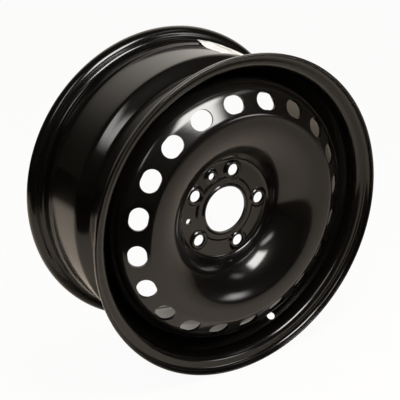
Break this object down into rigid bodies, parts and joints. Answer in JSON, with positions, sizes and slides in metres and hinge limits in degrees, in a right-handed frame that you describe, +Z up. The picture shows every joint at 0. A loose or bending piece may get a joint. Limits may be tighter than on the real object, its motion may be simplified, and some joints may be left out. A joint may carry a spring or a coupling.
{
  "type": "steel car wheel",
  "caption": "Black pressed-steel car wheel: a rolled drop-centre rim with a welded pressed disc that has oval vents, bolt seats and a centre bore.",
  "frame": {"origin": "on the wheel's axis, midway between the two rim flanges", "axes": "+Y along the spin axis towards the vehicle, so the outboard face looks along -Y; +Z up, with the wheel upright"},
  "size_m": [0.4401, 0.2028, 0.4402],
  "materials": {
    "black_paint": "gloss black dip paint over pressed steel"
  },
  "bodies": {
    "root": {"rim": "black_paint", "wheel_disc": "black_paint", "weld_beads": "black_paint"}
  },
  "joints": []
}
